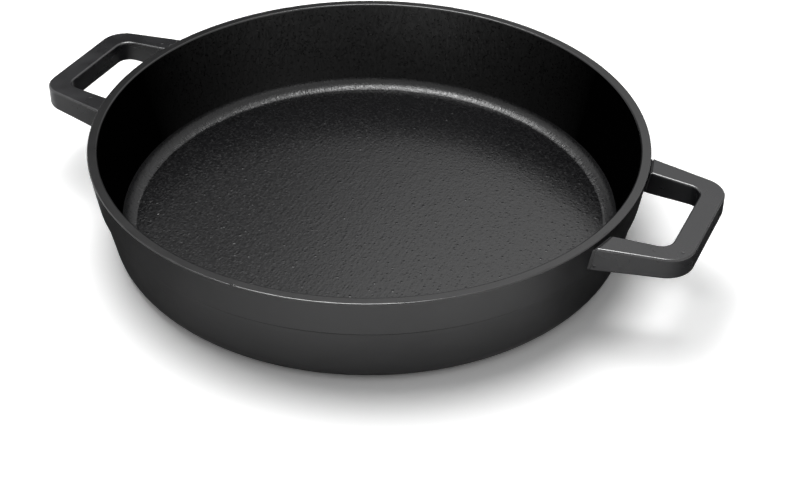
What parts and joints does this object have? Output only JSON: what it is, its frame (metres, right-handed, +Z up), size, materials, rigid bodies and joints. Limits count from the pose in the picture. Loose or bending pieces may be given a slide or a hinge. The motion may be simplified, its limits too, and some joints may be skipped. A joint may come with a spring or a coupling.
{
  "type": "cast iron frying pan",
  "caption": "Wide, low round cast iron frying pan with a leaning wall, a thicker band under a flat rim, a flat cooking floor and two opposed flat-topped loop handles.",
  "frame": {"origin": "centre of the flat base, on the surface the pan stands on", "axes": "+Z up through the middle of the pan, +X along the line through both handles, +Y to the side without a handle"},
  "size_m": [0.3512, 0.2798, 0.0524],
  "materials": {
    "pan_iron": "sand-cast, seasoned matt black with a faint oil sheen",
    "handle_iron": "smoother cast, seasoned matt black, edges rubbed a little brighter"
  },
  "bodies": {
    "root": {"pan_body": "pan_iron", "left_handle": "handle_iron", "right_handle": "handle_iron"}
  },
  "joints": []
}
